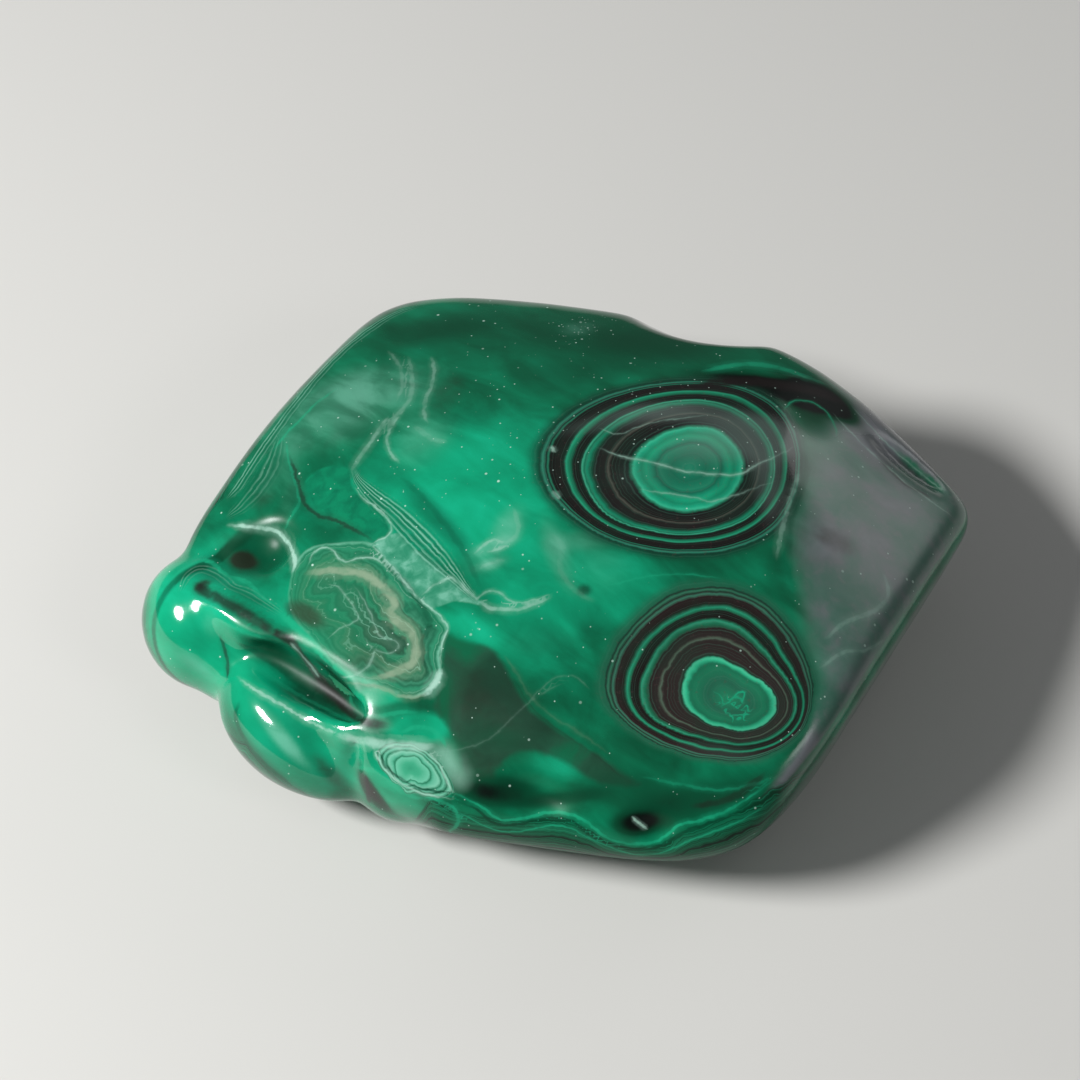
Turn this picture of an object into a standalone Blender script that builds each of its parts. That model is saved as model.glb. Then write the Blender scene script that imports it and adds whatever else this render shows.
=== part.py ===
"""A polished malachite nodule: one stone, ground to broad faces and left lobed where it grew.

The stone is one closed form. Broad ground faces give its body, rounded lobes and a ridge
stand out at its left end, and a mouth, pits and hollows are sunk into it. The forms are
joined and cut, drawn together into one even skin, polished smooth, and thinned to the
faces that the shape needs.

Axes: +X runs along the stone to its pointed end, +Y away from the viewer, +Z up.
The origin is at the middle of the stone's footprint, on the surface that it rests on.
"""

import math

import bmesh
import bpy
import numpy as np
from mathutils import Matrix, Vector

MM = 0.001

# Driving dimensions, in millimetres.
HEIGHT = 28.2
INNER_POINT = (0.0, 1.0, 12.0)
START_RADII = (45.0, 37.0, 14.0)
FARTHEST = 80.0
HALVINGS = 32
FLOOR_BLOCK = (140.0, 120.0, 20.0)
BODY_LEVELS = 5
LOBE_LEVELS = 4
ROLL_POINTS = 17
ROLL_TIP_SHARE = 0.1
ROLL_SIDE_STEPS = 4
WELD_DISTANCE = 0.01
SKIN_CELL = 0.55
POLISH_PASSES = 8
POLISH_STRENGTH = 0.5
FACE_SHARE = 0.084

STONE_GREEN = (0.012, 0.235, 0.120, 1.0)
STONE_ROUGHNESS = 0.16

# Ground faces: name, compass angle of the outward normal in plan (degrees from +X),
# its slope above level (degrees), distance from the origin (mm), and edge rounding (mm).
CROWN_FACES = (
    ("crown", 0.0, 90.0, HEIGHT, 0.0),
    ("eye_slope", -75.0, 70.0, 29.8, 9.0),
    ("back_slope", 88.0, 66.0, 32.4, 9.0),
    ("left_slope", 160.0, 68.0, 33.0, 10.0),
    ("left_front_slope", -145.0, 60.0, 31.0, 8.0),
    ("front_slope", -100.0, 45.0, 32.0, 6.0),
    ("right_face", 8.0, 62.0, 35.1, 4.0),
    ("right_face_front", -20.0, 57.0, 36.4, 2.5),
    ("back_right_bevel", 44.0, 35.0, 43.4, 2.5),
)
SIDE_FACES = (
    ("left_back_side", 149.0, 0.0, 37.9, 0.0),
    ("back_side", 87.0, 0.0, 41.2, 8.0),
    ("back_right_side", 67.5, 0.0, 35.4, 8.0),
    ("right_back_side", 42.0, 0.0, 41.2, 2.0),
    ("right_front_side", -30.0, -12.0, 32.8, 2.0),
    ("front_corner_side", -55.0, -5.0, 41.2, 8.0),
    ("front_side", -104.0, 0.0, 34.2, 8.0),
    ("left_front_side", -139.0, 0.0, 34.0, 6.0),
)
UNDERSIDE_FACES = (
    ("base", 0.0, -90.0, 0.5, 0.0),
    ("underside_front", -95.0, -50.0, 17.0, 8.0),
    ("underside_right", -10.0, -55.0, 24.5, 8.0),
    ("underside_left", 180.0, -45.0, 25.0, 8.0),
    ("underside_back", 85.0, -48.0, 18.0, 8.0),
)
CROWN_TO_SIDE_ROUNDING = 3.0
UNDERSIDE_ROUNDING = 8.0

# Lobes and knobs: name, centre, half-sizes (mm), turn in plan and tilt (degrees).
LOBES = (
    ("end_root", (-33.4, -4.6, 9.0), (9.4, 9.4, 7.6), 15.0, 0.0),
    ("end_lobe", (-39.2, -4.0, 10.0), (7.0, 7.8, 7.4), 15.0, 0.0),
    ("front_lobe", (-16.4, -23.6, 8.6), (6.0, 5.0, 6.0), 0.0, 0.0),
    ("knob", (-15.4, -24.0, 13.6), (3.4, 2.8, 3.0), 0.0, 0.0),
)

# Rolls and channels: name, then the points of the middle line with a radius at each (mm).
ROLLS = (
    ("tongue_lobe", ((-35.6, -10.4, 9.2, 5.2), (-29.6, -17.0, 8.8, 6.2), (-20.6, -25.0, 7.4, 5.8))),
    ("ridge", ((-42.0, -2.6, 14.6, 2.4), (-35.0, -7.6, 15.8, 2.8), (-26.0, -15.6, 15.4, 2.4))),
)
CHANNELS = (
    ("valley", ((-29.2, 12.0, 22.6, 1.8), (-26.8, 2.0, 23.7, 2.8), (-18.4, -5.4, 24.6, 1.8))),
    ("lobe_crease", ((-20.4, -22.6, 15.4, 1.0), (-22.4, -26.4, 11.6, 1.3), (-22.6, -29.8, 5.0, 1.2))),
    ("edge_groove", ((34.0, 14.6, 20.6, 0.9), (39.0, 11.9, 18.1, 1.3), (44.4, 8.4, 15.2, 0.8))),
    ("mouth", ((-34.4, -11.2, 15.0, 1.6), (-27.4, -16.4, 16.0, 2.4), (-17.6, -23.8, 15.2, 1.6))),
)

# Hollows: name, centre, half-sizes (mm), turn in plan and tilt (degrees).
HOLLOWS = (
    ("end_pit", (-33.2, -1.4, 20.4), (4.4, 3.8, 3.4), 20.0, 10.0),
    ("front_hollow", (-3.6, -31.2, 15.8), (5.4, 2.4, 2.6), -12.0, 14.0),
    ("back_dip", (21.2, 46.2, 35.4), (24.0, 24.0, 24.0), 0.0, 0.0),
    ("corner_hollow", (9.2, -35.0, 13.6), (3.2, 2.2, 2.4), 10.0, 0.0),
)


def smooth_max(first, second, width):
    """The larger of two distances, with the corner between them rounded over that width."""
    if width <= 0.0:
        return np.maximum(first, second)
    share = np.maximum(width - np.abs(first - second), 0.0) / width
    return np.maximum(first, second) + share * share * width / 4.0


def normal_of(compass, slope):
    """The unit vector at a compass angle in plan and a slope above level, both in degrees."""
    turn, rise = math.radians(compass), math.radians(slope)
    return np.array(
        (math.cos(turn) * math.cos(rise), math.sin(turn) * math.cos(rise), math.sin(rise))
    )


def ground_form(points, faces):
    """About the distance from each point to the form that a group of ground faces bounds."""
    form = np.full(len(points), -FARTHEST)
    for _, compass, slope, reach, rounding in faces:
        form = smooth_max(form, points @ normal_of(compass, slope) - reach, rounding)
    return form


def body_distance(points):
    """About the distance from each point to the ground body, in mm, negative inside."""
    crown = ground_form(points, CROWN_FACES)
    sides = ground_form(points, SIDE_FACES)
    underside = ground_form(points, UNDERSIDE_FACES)
    form = smooth_max(crown, sides, CROWN_TO_SIDE_ROUNDING)
    return smooth_max(form, underside, UNDERSIDE_ROUNDING)


def drawn_onto_body(start):
    """Each starting point, moved along its line from the inner point onto the body's surface."""
    inner = np.array(INNER_POINT)
    rays = start / np.linalg.norm(start, axis=1, keepdims=True)
    low = np.zeros(len(rays))
    high = np.full(len(rays), FARTHEST)
    for _ in range(HALVINGS):
        middle = (low + high) / 2.0
        outside = body_distance(inner + rays * middle[:, None]) > 0.0
        high = np.where(outside, middle, high)
        low = np.where(outside, low, middle)
    return inner + rays * high[:, None]


def points_of(mesh):
    flat = np.empty(len(mesh.vertices) * 3)
    mesh.vertices.foreach_get("co", flat)
    return flat.reshape(-1, 3)


def make_body():
    """The ground body: a sphere whose points are drawn onto the rounded ground faces."""
    bpy.ops.mesh.primitive_ico_sphere_add(subdivisions=BODY_LEVELS, radius=1.0)
    body = bpy.context.object
    points = drawn_onto_body(points_of(body.data) * np.array(START_RADII))
    body.data.vertices.foreach_set("co", (points * MM).ravel())
    body.data.update()
    return body


def make_ellipsoid(name, centre, radii, turn, tilt):
    """A lobe or a hollow: a sphere stretched to its half-sizes, then tilted and turned."""
    bpy.ops.mesh.primitive_ico_sphere_add(subdivisions=LOBE_LEVELS, radius=1.0)
    lobe = bpy.context.object
    lobe.name = name
    lean = Matrix.Rotation(math.radians(tilt), 4, "Y")
    stand = Matrix.Rotation(math.radians(turn), 4, "Z")
    place = Matrix.Translation(Vector(centre) * MM)
    size = Matrix.Diagonal((*(r * MM for r in radii), 1.0))
    lobe.data.transform(place @ stand @ lean @ size)
    return lobe


def bent_line(points, share):
    """The place and radius at a share of the way along a curve through three points."""
    first, middle, last = (np.array(point) for point in points)
    control = 2.0 * middle - (first + last) / 2.0
    rest = 1.0 - share
    return rest * rest * first + 2.0 * rest * share * control + share * share * last


def make_roll(name, points):
    """A roll or a channel: a tube along a bent line, drawn in nearly to a point at both ends."""
    curve = bpy.data.curves.new(name, "CURVE")
    curve.dimensions = "3D"
    curve.bevel_depth = MM
    curve.bevel_resolution = ROLL_SIDE_STEPS
    curve.use_fill_caps = True
    spline = curve.splines.new("POLY")
    spline.points.add(ROLL_POINTS - 1)
    for i, point in enumerate(spline.points):
        along = -math.cos(math.pi * i / (ROLL_POINTS - 1))
        x, y, z, radius = bent_line(points, (along + 1.0) / 2.0)
        point.co = (x * MM, y * MM, z * MM, 1.0)
        point.radius = radius * max(math.sqrt(1.0 - along * along), ROLL_TIP_SHARE)
    tube = bpy.data.objects.new(name, curve)
    bpy.context.scene.collection.objects.link(tube)
    roll = bpy.data.objects.new(name, closed_mesh(tube))
    bpy.context.scene.collection.objects.link(roll)
    bpy.data.objects.remove(tube)
    return roll


def closed_mesh(tube):
    """The mesh of a tube, with its end caps joined to its sides."""
    mesh = evaluated_mesh(tube)
    work = bmesh.new()
    work.from_mesh(mesh)
    bmesh.ops.remove_doubles(work, verts=work.verts, dist=WELD_DISTANCE * MM)
    work.to_mesh(mesh)
    work.free()
    return mesh


def make_floor_block():
    """A block whose top is the surface that the stone rests on."""
    length, depth, height = FLOOR_BLOCK
    bpy.ops.mesh.primitive_cube_add(size=1.0)
    block = bpy.context.object
    block.name = "floor_block"
    place = Matrix.Translation((0.0, 0.0, -height / 2.0 * MM))
    block.data.transform(place @ Matrix.Diagonal((length * MM, depth * MM, height * MM, 1.0)))
    return block


def evaluated_mesh(thing):
    bpy.context.view_layer.update()
    graph = bpy.context.evaluated_depsgraph_get()
    return bpy.data.meshes.new_from_object(thing.evaluated_get(graph))


def move_to(thing, collection):
    for old in list(thing.users_collection):
        old.objects.unlink(thing)
    collection.objects.link(thing)


def combine(stone, other, operation, helpers):
    """Joins a form to the stone, or cuts it away, and keeps it as a hidden helper."""
    step = stone.modifiers.new(other.name, "BOOLEAN")
    step.operation = operation
    step.object = other
    other.hide_render = True
    other.display_type = "WIRE"
    move_to(other, helpers)


def polish(stone):
    """Draws one even skin over the joined forms, smooths it, and thins its faces."""
    skin = stone.modifiers.new("even_skin", "REMESH")
    skin.mode = "VOXEL"
    skin.voxel_size = SKIN_CELL * MM
    skin.use_smooth_shade = True
    smooth = stone.modifiers.new("polish", "SMOOTH")
    smooth.factor = POLISH_STRENGTH
    smooth.iterations = POLISH_PASSES
    thin = stone.modifiers.new("thin_faces", "DECIMATE")
    thin.ratio = FACE_SHARE


def make_stone(helpers):
    """The stone: its body, joined and cut, polished, and cut flat where it rests."""
    stone = make_body()
    stone.name = "malachite"
    for lobe in LOBES:
        combine(stone, make_ellipsoid(*lobe), "UNION", helpers)
    for roll in ROLLS:
        combine(stone, make_roll(*roll), "UNION", helpers)
    for hollow in HOLLOWS:
        combine(stone, make_ellipsoid(*hollow), "DIFFERENCE", helpers)
    for channel in CHANNELS:
        combine(stone, make_roll(*channel), "DIFFERENCE", helpers)
    polish(stone)
    combine(stone, make_floor_block(), "DIFFERENCE", helpers)
    stone.data.materials.append(stone_material())
    return stone


def centre_footprint(stone, helpers):
    """Moves the stone and its helpers together, so that the stone's box is centred in plan."""
    points = points_of(evaluated_mesh(stone))
    middle = (points.min(axis=0) + points.max(axis=0)) / 2.0
    for thing in (stone, *helpers.objects):
        thing.location.x -= middle[0]
        thing.location.y -= middle[1]


def stone_material():
    material = bpy.data.materials.new("polished_malachite")
    material.use_nodes = True
    shader = material.node_tree.nodes["Principled BSDF"]
    shader.inputs["Base Color"].default_value = STONE_GREEN
    shader.inputs["Roughness"].default_value = STONE_ROUGHNESS
    return material


def main():
    for old in list(bpy.data.objects):
        bpy.data.objects.remove(old)
    collection = bpy.data.collections.new("malachite_specimen")
    helpers = bpy.data.collections.new("helpers")
    for made in (collection, helpers):
        bpy.context.scene.collection.children.link(made)
    stone = make_stone(helpers)
    move_to(stone, collection)
    centre_footprint(stone, helpers)


main()
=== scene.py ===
"""A polished malachite nodule on a pale floor.

The stone's skin is drawn from its solid, smoothed as a hand polish leaves it, and given fine
relief. Its markings are measured on the skin in millimetres: two eyes of rings, a wavy agate
patch, bands of fine lines, thin veins, and the layers that show edge-on round its sides.
Each marking is a smooth value at every point of the skin, and the material turns the values
into colour. Some values also paint shade, highlights, glints and a grey softbox reflection
into that colour.
"""

import math

import bmesh
import bpy
import numpy as np
from bpy.props import FloatProperty, IntProperty, PointerProperty
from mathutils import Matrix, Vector, noise
from mathutils.bvhtree import BVHTree


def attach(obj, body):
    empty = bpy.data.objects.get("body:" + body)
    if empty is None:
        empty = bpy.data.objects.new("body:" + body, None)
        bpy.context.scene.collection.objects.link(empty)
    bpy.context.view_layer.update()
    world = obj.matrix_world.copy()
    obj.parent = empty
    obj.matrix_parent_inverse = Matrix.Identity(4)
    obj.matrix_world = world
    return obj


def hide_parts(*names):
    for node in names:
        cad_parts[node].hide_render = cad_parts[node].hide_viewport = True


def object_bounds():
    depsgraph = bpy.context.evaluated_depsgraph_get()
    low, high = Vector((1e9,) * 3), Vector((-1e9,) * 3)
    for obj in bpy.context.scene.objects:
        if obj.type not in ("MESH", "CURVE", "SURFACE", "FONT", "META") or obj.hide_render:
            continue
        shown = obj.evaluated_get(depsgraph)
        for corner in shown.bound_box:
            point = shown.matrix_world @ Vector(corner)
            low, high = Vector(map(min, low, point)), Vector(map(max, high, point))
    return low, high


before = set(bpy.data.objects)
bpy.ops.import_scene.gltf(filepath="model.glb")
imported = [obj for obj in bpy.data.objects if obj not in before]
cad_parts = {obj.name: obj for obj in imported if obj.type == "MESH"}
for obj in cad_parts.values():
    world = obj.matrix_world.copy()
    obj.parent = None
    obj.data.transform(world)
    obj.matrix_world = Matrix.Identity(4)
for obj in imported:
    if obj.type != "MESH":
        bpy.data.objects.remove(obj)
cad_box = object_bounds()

bl_info = {
    "name": "Malachite Specimen",
    "version": (1, 0, 0),
    "blender": (4, 5, 0),
    "location": "View3D > Sidebar > Malachite",
    "description": "Builds a polished malachite nodule with its markings, floor and light",
    "category": "Add Mesh",
}

MM = 0.001

# Marks are places in a square picture of this width, seen from the scene's own camera.
PICTURE_WIDTH = 1080
CAMERA_TARGET = (-2.19, 2.24, 14.0)
SENSOR_WIDTH = 36.0

# The eyes: the middle, then the outlines of the core, of the rings and of the whole eye.
FIRST_EYE_CENTRE = (689, 468)
FIRST_EYE_OUTLINES = (
    ((629, 472), (650, 439), (675, 428), (700, 425), (720, 429), (738, 445), (746, 466), (741, 485),
        (727, 501), (705, 511), (687, 514), (660, 508), (641, 493)),
    ((583, 465), (593, 443), (607, 429), (635, 413), (665, 404), (697, 401), (730, 407), (757, 425),
        (772, 447), (775, 470), (768, 496), (750, 517), (720, 530), (687, 535), (650, 530), (625, 524),
        (607, 515), (592, 495)),
    ((565, 465), (573, 440), (592, 421), (620, 405), (655, 395), (697, 391), (740, 396), (770, 415),
        (786, 440), (789, 470), (780, 500), (760, 523), (730, 538), (697, 543), (655, 540), (620, 531),
        (592, 515), (573, 493)),
    ((539, 465), (545, 440), (560, 422), (585, 405), (625, 390), (665, 383), (700, 381), (750, 388),
        (785, 408), (800, 435), (803, 470), (795, 505), (775, 533), (740, 549), (690, 555), (640, 549),
        (600, 535), (565, 510), (546, 488)),
)
SECOND_EYE_CENTRE = (728, 699)
SECOND_EYE_OUTLINES = (
    ((682, 692), (690, 668), (701, 659), (714, 658), (734, 666), (750, 676), (770, 688), (778, 705),
        (777, 716), (770, 726), (750, 736), (726, 731), (702, 720), (686, 704)),
    ((640, 690), (650, 664), (666, 640), (690, 624), (714, 620), (738, 626), (756, 642), (774, 664),
        (790, 684), (798, 704), (797, 720), (786, 738), (760, 752), (730, 751), (702, 743), (676, 735),
        (656, 724), (644, 710)),
    ((625, 688), (633, 662), (650, 636), (674, 618), (702, 607), (730, 607), (750, 617), (768, 632),
        (782, 654), (796, 678), (805, 698), (806, 716), (800, 736), (782, 753), (754, 762), (726, 760),
        (694, 753), (666, 740), (644, 726), (630, 708)),
    ((603, 684), (608, 664), (620, 640), (640, 618), (670, 594), (702, 586), (734, 588), (764, 602),
        (788, 626), (803, 650), (812, 680), (813, 712), (806, 740), (784, 761), (750, 774), (718, 771),
        (678, 760), (646, 744), (620, 720), (606, 704)),
)

# The lens on the front lobe: the middle, an inner outline and the edge.
LENS_CENTRE = (410, 768)
LENS_OUTLINES = (
    ((395, 762), (408, 758), (422, 764), (432, 774), (430, 782), (412, 777)),
    ((374, 752), (385, 744), (402, 743), (420, 748), (434, 757), (444, 768), (452, 782), (458, 796),
        (440, 797), (418, 792), (400, 784), (386, 774), (377, 763)),
)

# Bands of fine parallel lines: how many lines, how strong, then the half width (mm) and place
# of each mark.
BUNDLES = (
    (5.0, 0.75, ((0.25, 353, 468), (0.5, 358, 480), (0.9, 371, 494), (1.2, 392, 512), (1.4, 410, 529),
        (1.4, 431, 551), (0.95, 450, 571), (0.5, 466, 589), (0.2, 482, 606))),
    (3.0, 0.6, ((0.3, 226, 500), (0.7, 238, 487), (0.8, 257, 458), (0.8, 278, 428), (0.8, 300, 399),
        (0.8, 322, 372), (0.8, 346, 348), (0.8, 372, 328), (0.6, 397, 313), (0.4, 425, 304))),
    (3.5, 0.3, ((0.3, 226, 518), (1.0, 244, 504), (1.3, 262, 482), (1.2, 273, 460), (0.5, 280, 436))),
    (2.5, 0.35, ((0.3, 180, 592), (0.6, 187, 577), (0.7, 200, 569), (0.7, 216, 574), (0.7, 232, 586),
        (0.7, 250, 594), (0.5, 266, 604), (0.3, 282, 614))),
)

# Areas with an edge of their own.
CLEAR_CELL = (
    (304, 480), (320, 468), (340, 465), (352, 472), (352, 484), (362, 498), (376, 508), (386, 519),
    (391, 532), (384, 538), (370, 540), (352, 530), (330, 520), (316, 511),
)
PALE_PANEL = (
    (390, 534), (400, 532), (412, 545), (428, 556), (440, 566), (450, 577), (464, 588), (484, 605),
    (470, 604), (455, 602), (440, 607), (430, 609), (420, 600), (411, 590), (400, 577), (389, 566),
    (380, 553), (374, 543),
)
AGATE = (
    (292, 572), (300, 556), (314, 546), (345, 542), (372, 543), (386, 560), (400, 575), (412, 590),
    (424, 602), (437, 613), (447, 627), (443, 641), (440, 656), (441, 674), (430, 690), (415, 698),
    (398, 696), (385, 688), (370, 684), (352, 680), (334, 668), (321, 651), (308, 636), (296, 622),
    (288, 600),
)
BROWN_PANE = (
    (446, 632), (458, 639), (475, 642), (492, 648), (505, 665), (518, 690), (530, 708), (547, 722),
    (566, 735), (592, 750), (620, 770), (642, 786), (600, 784), (566, 764), (536, 752), (510, 756),
    (496, 776), (500, 802), (480, 796), (466, 780), (458, 755), (448, 730), (434, 706), (440, 680),
    (442, 655),
)
# A milky patch by the lens, partly its own colour and partly a painted highlight.
MILKY_AND_HIGHLIGHT_AREA = (
    (430, 750), (443, 743), (454, 750), (463, 762), (470, 776), (464, 787), (455, 786), (447, 776),
    (440, 765),
)

# Single lines: half width (mm), strength, and the places that they run through.
# Pale veins, with painted highlights and glints among them.
PALE_VEINS_AND_HIGHLIGHTS = (
    (0.34, 0.32, ((351, 472), (357, 461), (366, 449), (374, 437), (383, 425), (388, 417))),
    (0.3, 0.22, ((388, 436), (390, 424), (400, 412), (409, 400), (412, 386), (411, 370), (408, 356))),
    (0.2, 0.36, ((400, 464), (391, 453), (387, 443), (389, 432), (396, 420), (406, 408))),
    (0.26, 0.28, ((428, 424), (424, 412), (426, 398), (432, 384), (434, 368), (431, 356))),
    (0.24, 0.16, ((396, 402), (402, 388), (402, 374), (397, 362), (388, 350))),
    (0.4, 0.16, ((414, 426), (424, 434), (436, 440), (448, 442))),
    (0.18, 0.5, ((421, 596), (432, 586), (442, 582), (451, 578), (462, 586), (472, 595), (486, 606))),
    (0.12, 0.55, ((370, 545), (381, 539), (389, 534), (391, 525), (386, 516), (377, 508), (364, 499),
        (354, 487))),
    (0.13, 0.6, ((366, 540), (378, 552), (388, 562), (398, 573), (408, 586), (418, 597), (428, 606),
        (437, 613), (445, 622), (447, 631), (443, 641), (441, 655), (440, 676))),
    (0.12, 0.5, ((308, 566), (314, 553), (322, 548), (333, 550), (339, 558), (347, 562), (357, 559),
        (370, 557), (381, 562), (396, 580))),
    (0.1, 0.24, ((326, 584), (336, 586), (346, 596), (356, 611), (358, 618), (350, 624), (338, 630),
        (325, 640))),
    (0.1, 0.26, ((352, 584), (363, 598), (370, 612), (374, 624), (379, 634), (386, 640), (394, 640),
        (399, 646), (393, 652), (381, 652), (371, 646), (364, 637))),
    (0.18, 0.3, ((374, 648), (372, 660), (366, 668), (354, 676), (340, 676))),
    (0.16, 0.42, ((478, 598), (489, 591), (499, 592), (508, 600), (520, 603), (535, 600), (552, 594))),
    (0.26, 0.5, ((478, 600), (490, 608), (503, 609), (518, 609), (533, 604), (552, 597))),
    (0.2, 0.45, ((474, 554), (486, 543), (495, 540), (504, 544), (498, 549), (486, 552))),
    (0.3, 0.16, ((500, 545), (512, 540), (518, 531), (517, 520), (514, 508))),
    (0.26, 0.2, ((480, 568), (492, 563), (503, 560))),
    (0.35, 0.09, ((548, 532), (562, 546), (560, 566), (572, 588), (596, 602))),
    (0.1, 0.08, ((524, 708), (540, 690), (556, 678), (574, 676), (590, 690))),
    (0.1, 0.07, ((440, 752), (466, 748), (490, 738), (508, 722), (525, 706), (548, 690), (566, 683))),
    (0.4, 0.9, ((442, 668), (437, 680), (431, 688), (423, 697))),
    (0.22, 0.6, ((552, 445), (553, 449), (554, 452))),
    (0.26, 0.7, ((553, 491), (556, 495), (559, 499))),
    # Painted glint on the far rim of the pit.
    (0.3, 0.8, ((226, 524), (245, 526), (262, 528), (278, 532), (287, 541), (293, 553), (295, 564),
        (291, 574))),
    # Painted highlight along the upper edge of the mouth.
    (0.24, 0.4, ((290, 642), (297, 650), (306, 660), (314, 670), (320, 678))),
    # Painted glint in the dark hollow at the front.
    (0.16, 1.0, ((632, 817), (640, 824), (647, 829))),
    # Painted highlight along the top of the tongue lobe.
    (0.24, 0.6, ((236, 676), (258, 692), (275, 701), (295, 713), (315, 724), (335, 732), (352, 738),
        (380, 742))),
    # The white band above the lens: partly milky colour, partly a painted highlight.
    (0.55, 0.65, ((335, 733), (350, 738), (365, 741), (380, 743), (400, 745), (420, 747), (436, 746))),
    (0.14, 0.6, ((372, 742), (376, 754), (381, 763), (390, 774), (402, 784), (417, 791), (434, 796),
        (456, 799))),
    (0.14, 0.5, ((420, 748), (433, 757), (441, 768), (447, 780), (455, 794))),
    (0.16, 0.45, ((596, 447), (620, 456), (645, 461), (665, 466), (685, 471), (712, 474), (740, 474),
        (757, 465), (797, 446))),
    (0.12, 0.3, ((638, 489), (665, 493), (695, 497), (712, 501), (738, 494), (776, 481))),
    (0.1, 0.25, ((598, 428), (620, 434), (645, 424), (670, 420), (710, 415))),
    (0.14, 0.4, ((832, 412), (856, 438), (880, 460), (905, 482), (930, 500), (954, 518))),
    (0.12, 0.35, ((850, 404), (872, 428), (896, 452), (920, 472), (946, 494))),
    (0.3, 0.3, ((800, 470), (790, 500), (782, 530), (776, 560))),
    (0.3, 0.3, ((824, 640), (846, 622), (872, 612), (888, 596), (884, 572))),
    (0.22, 0.25, ((820, 668), (844, 652), (866, 650), (884, 640))),
)
MINT_STROKES = (
    (0.45, 0.8, ((270, 606), (290, 622), (306, 636), (320, 652), (333, 665), (346, 674), (360, 680),
        (386, 684))),
    (0.36, 0.85, ((168, 585), (180, 571), (192, 564), (206, 561), (217, 567), (226, 576), (240, 580),
        (250, 585), (262, 597), (288, 612))),
    (0.28, 0.55, ((196, 606), (212, 616), (228, 624), (246, 633), (270, 640))),
    (0.22, 0.5, ((285, 440), (290, 465), (297, 490), (299, 503), (292, 516), (284, 530))),
    (0.2, 0.75, ((446, 790), (460, 796), (472, 801), (483, 808), (493, 816), (505, 820), (525, 818),
        (545, 813), (565, 813), (582, 819), (595, 829), (608, 838), (625, 843), (645, 844), (660, 840),
        (670, 832), (682, 824), (700, 820), (720, 814), (738, 804), (752, 795), (765, 786), (782, 774))),
    (0.12, 0.6, ((430, 806), (448, 810), (466, 816), (484, 826), (504, 832), (528, 830), (550, 826),
        (570, 828), (590, 838), (612, 848), (640, 855), (664, 852), (686, 842), (712, 832), (738, 822),
        (762, 808), (788, 790))),
    (0.24, 0.7, ((420, 797), (438, 800), (452, 806), (458, 816), (455, 827), (440, 838))),
    (0.34, 0.6, ((352, 766), (368, 769), (382, 774), (393, 785), (406, 794), (430, 801))),
    (0.28, 0.7, ((398, 733), (416, 727), (430, 729), (440, 737), (447, 748))),
    (0.5, 0.6, ((700, 372), (722, 367), (745, 364), (770, 366), (795, 373), (830, 386))),
    (0.14, 0.6, ((782, 410), (792, 402), (803, 400), (816, 404), (827, 412), (834, 424), (838, 440))),
    (0.4, 0.35, ((228, 648), (250, 664), (275, 680), (300, 696), (330, 712), (360, 726))),
    (0.3, 0.6, ((350, 690), (352, 705), (362, 716), (380, 716), (400, 712), (420, 712))),
    (0.18, 0.35, ((640, 776), (680, 784), (715, 790), (748, 786), (775, 776))),
    (0.18, 0.5, ((272, 452), (284, 436), (300, 420), (318, 402), (338, 388))),
    (0.08, 0.9, ((712, 690), (722, 698), (722, 707), (731, 716), (743, 717), (749, 708), (742, 701),
        (745, 692), (736, 694), (731, 702), (738, 709), (752, 714))),
    (0.07, 0.7, ((716, 706), (726, 704), (734, 698), (740, 700), (746, 712), (738, 720), (728, 712))),
    (0.12, 0.4, ((600, 588), (640, 578), (680, 574), (720, 578))),
)
# Dark brown seams: partly real, partly painted shade under the lip of the mouth and in the creases between
# the lobes.
DARK_SEAMS_AND_CREASE_SHADE = (
    # Under the mouth's lip: brown with painted shade of the undercut.
    (0.62, 0.9, ((250, 622), (272, 631), (290, 641), (303, 656), (315, 672), (326, 686), (338, 699),
        (350, 712), (364, 721), (380, 725), (392, 725))),
    (0.75, 0.85, ((192, 582), (203, 590), (220, 599), (238, 609), (255, 620), (284, 638))),
    (0.3, 0.7, ((288, 452), (294, 470), (300, 490), (306, 505), (318, 515), (334, 520), (350, 527),
        (378, 543))),
    (0.9, 1.0, ((690, 390), (708, 385), (724, 382), (742, 381), (762, 382), (786, 386), (810, 390),
        (832, 397), (850, 406))),
    # Painted shade in the crease between the tongue lobe and the front lobe.
    (0.35, 0.8, ((366, 774), (367, 784), (368, 794), (369, 804))),
    # Painted shade in the crease between the end lobe and the tongue lobe.
    (0.24, 0.7, ((220, 634), (226, 652), (228, 668), (227, 680))),
    (0.34, 0.8, ((876, 456), (890, 470), (903, 482), (916, 490), (934, 500))),
    (0.12, 0.25, ((510, 672), (524, 696), (534, 710), (549, 723), (567, 736), (585, 748), (602, 761),
        (634, 786))),
    (0.4, 0.6, ((690, 806), (720, 802), (745, 790), (766, 772))),
)
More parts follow.
